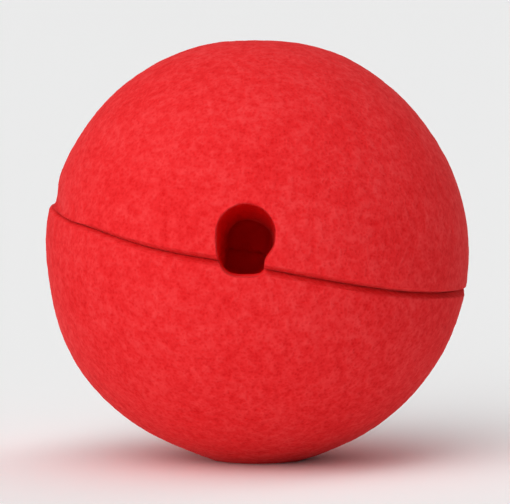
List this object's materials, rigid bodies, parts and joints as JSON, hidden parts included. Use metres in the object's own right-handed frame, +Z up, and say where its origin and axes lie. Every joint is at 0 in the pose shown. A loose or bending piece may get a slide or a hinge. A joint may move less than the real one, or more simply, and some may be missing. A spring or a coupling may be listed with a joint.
{
  "type": "sponge foam clown nose",
  "caption": "Round red sponge foam clown nose, slit to just past its middle, with a round hole punched beside the slit that clips over the wearer's own nose.",
  "frame": {"origin": "middle of the flat underside that the ball rests on", "axes": "+Z up; -Y is the front, which the nose hole faces; +X is the right side seen from the front, where the slit is lowest"},
  "size_m": [0.05, 0.05, 0.0496],
  "materials": {
    "red_sponge_foam": "matt open-cell polyurethane sponge, fine pores"
  },
  "bodies": {
    "root": {"foam_ball": "red_sponge_foam"}
  },
  "joints": []
}
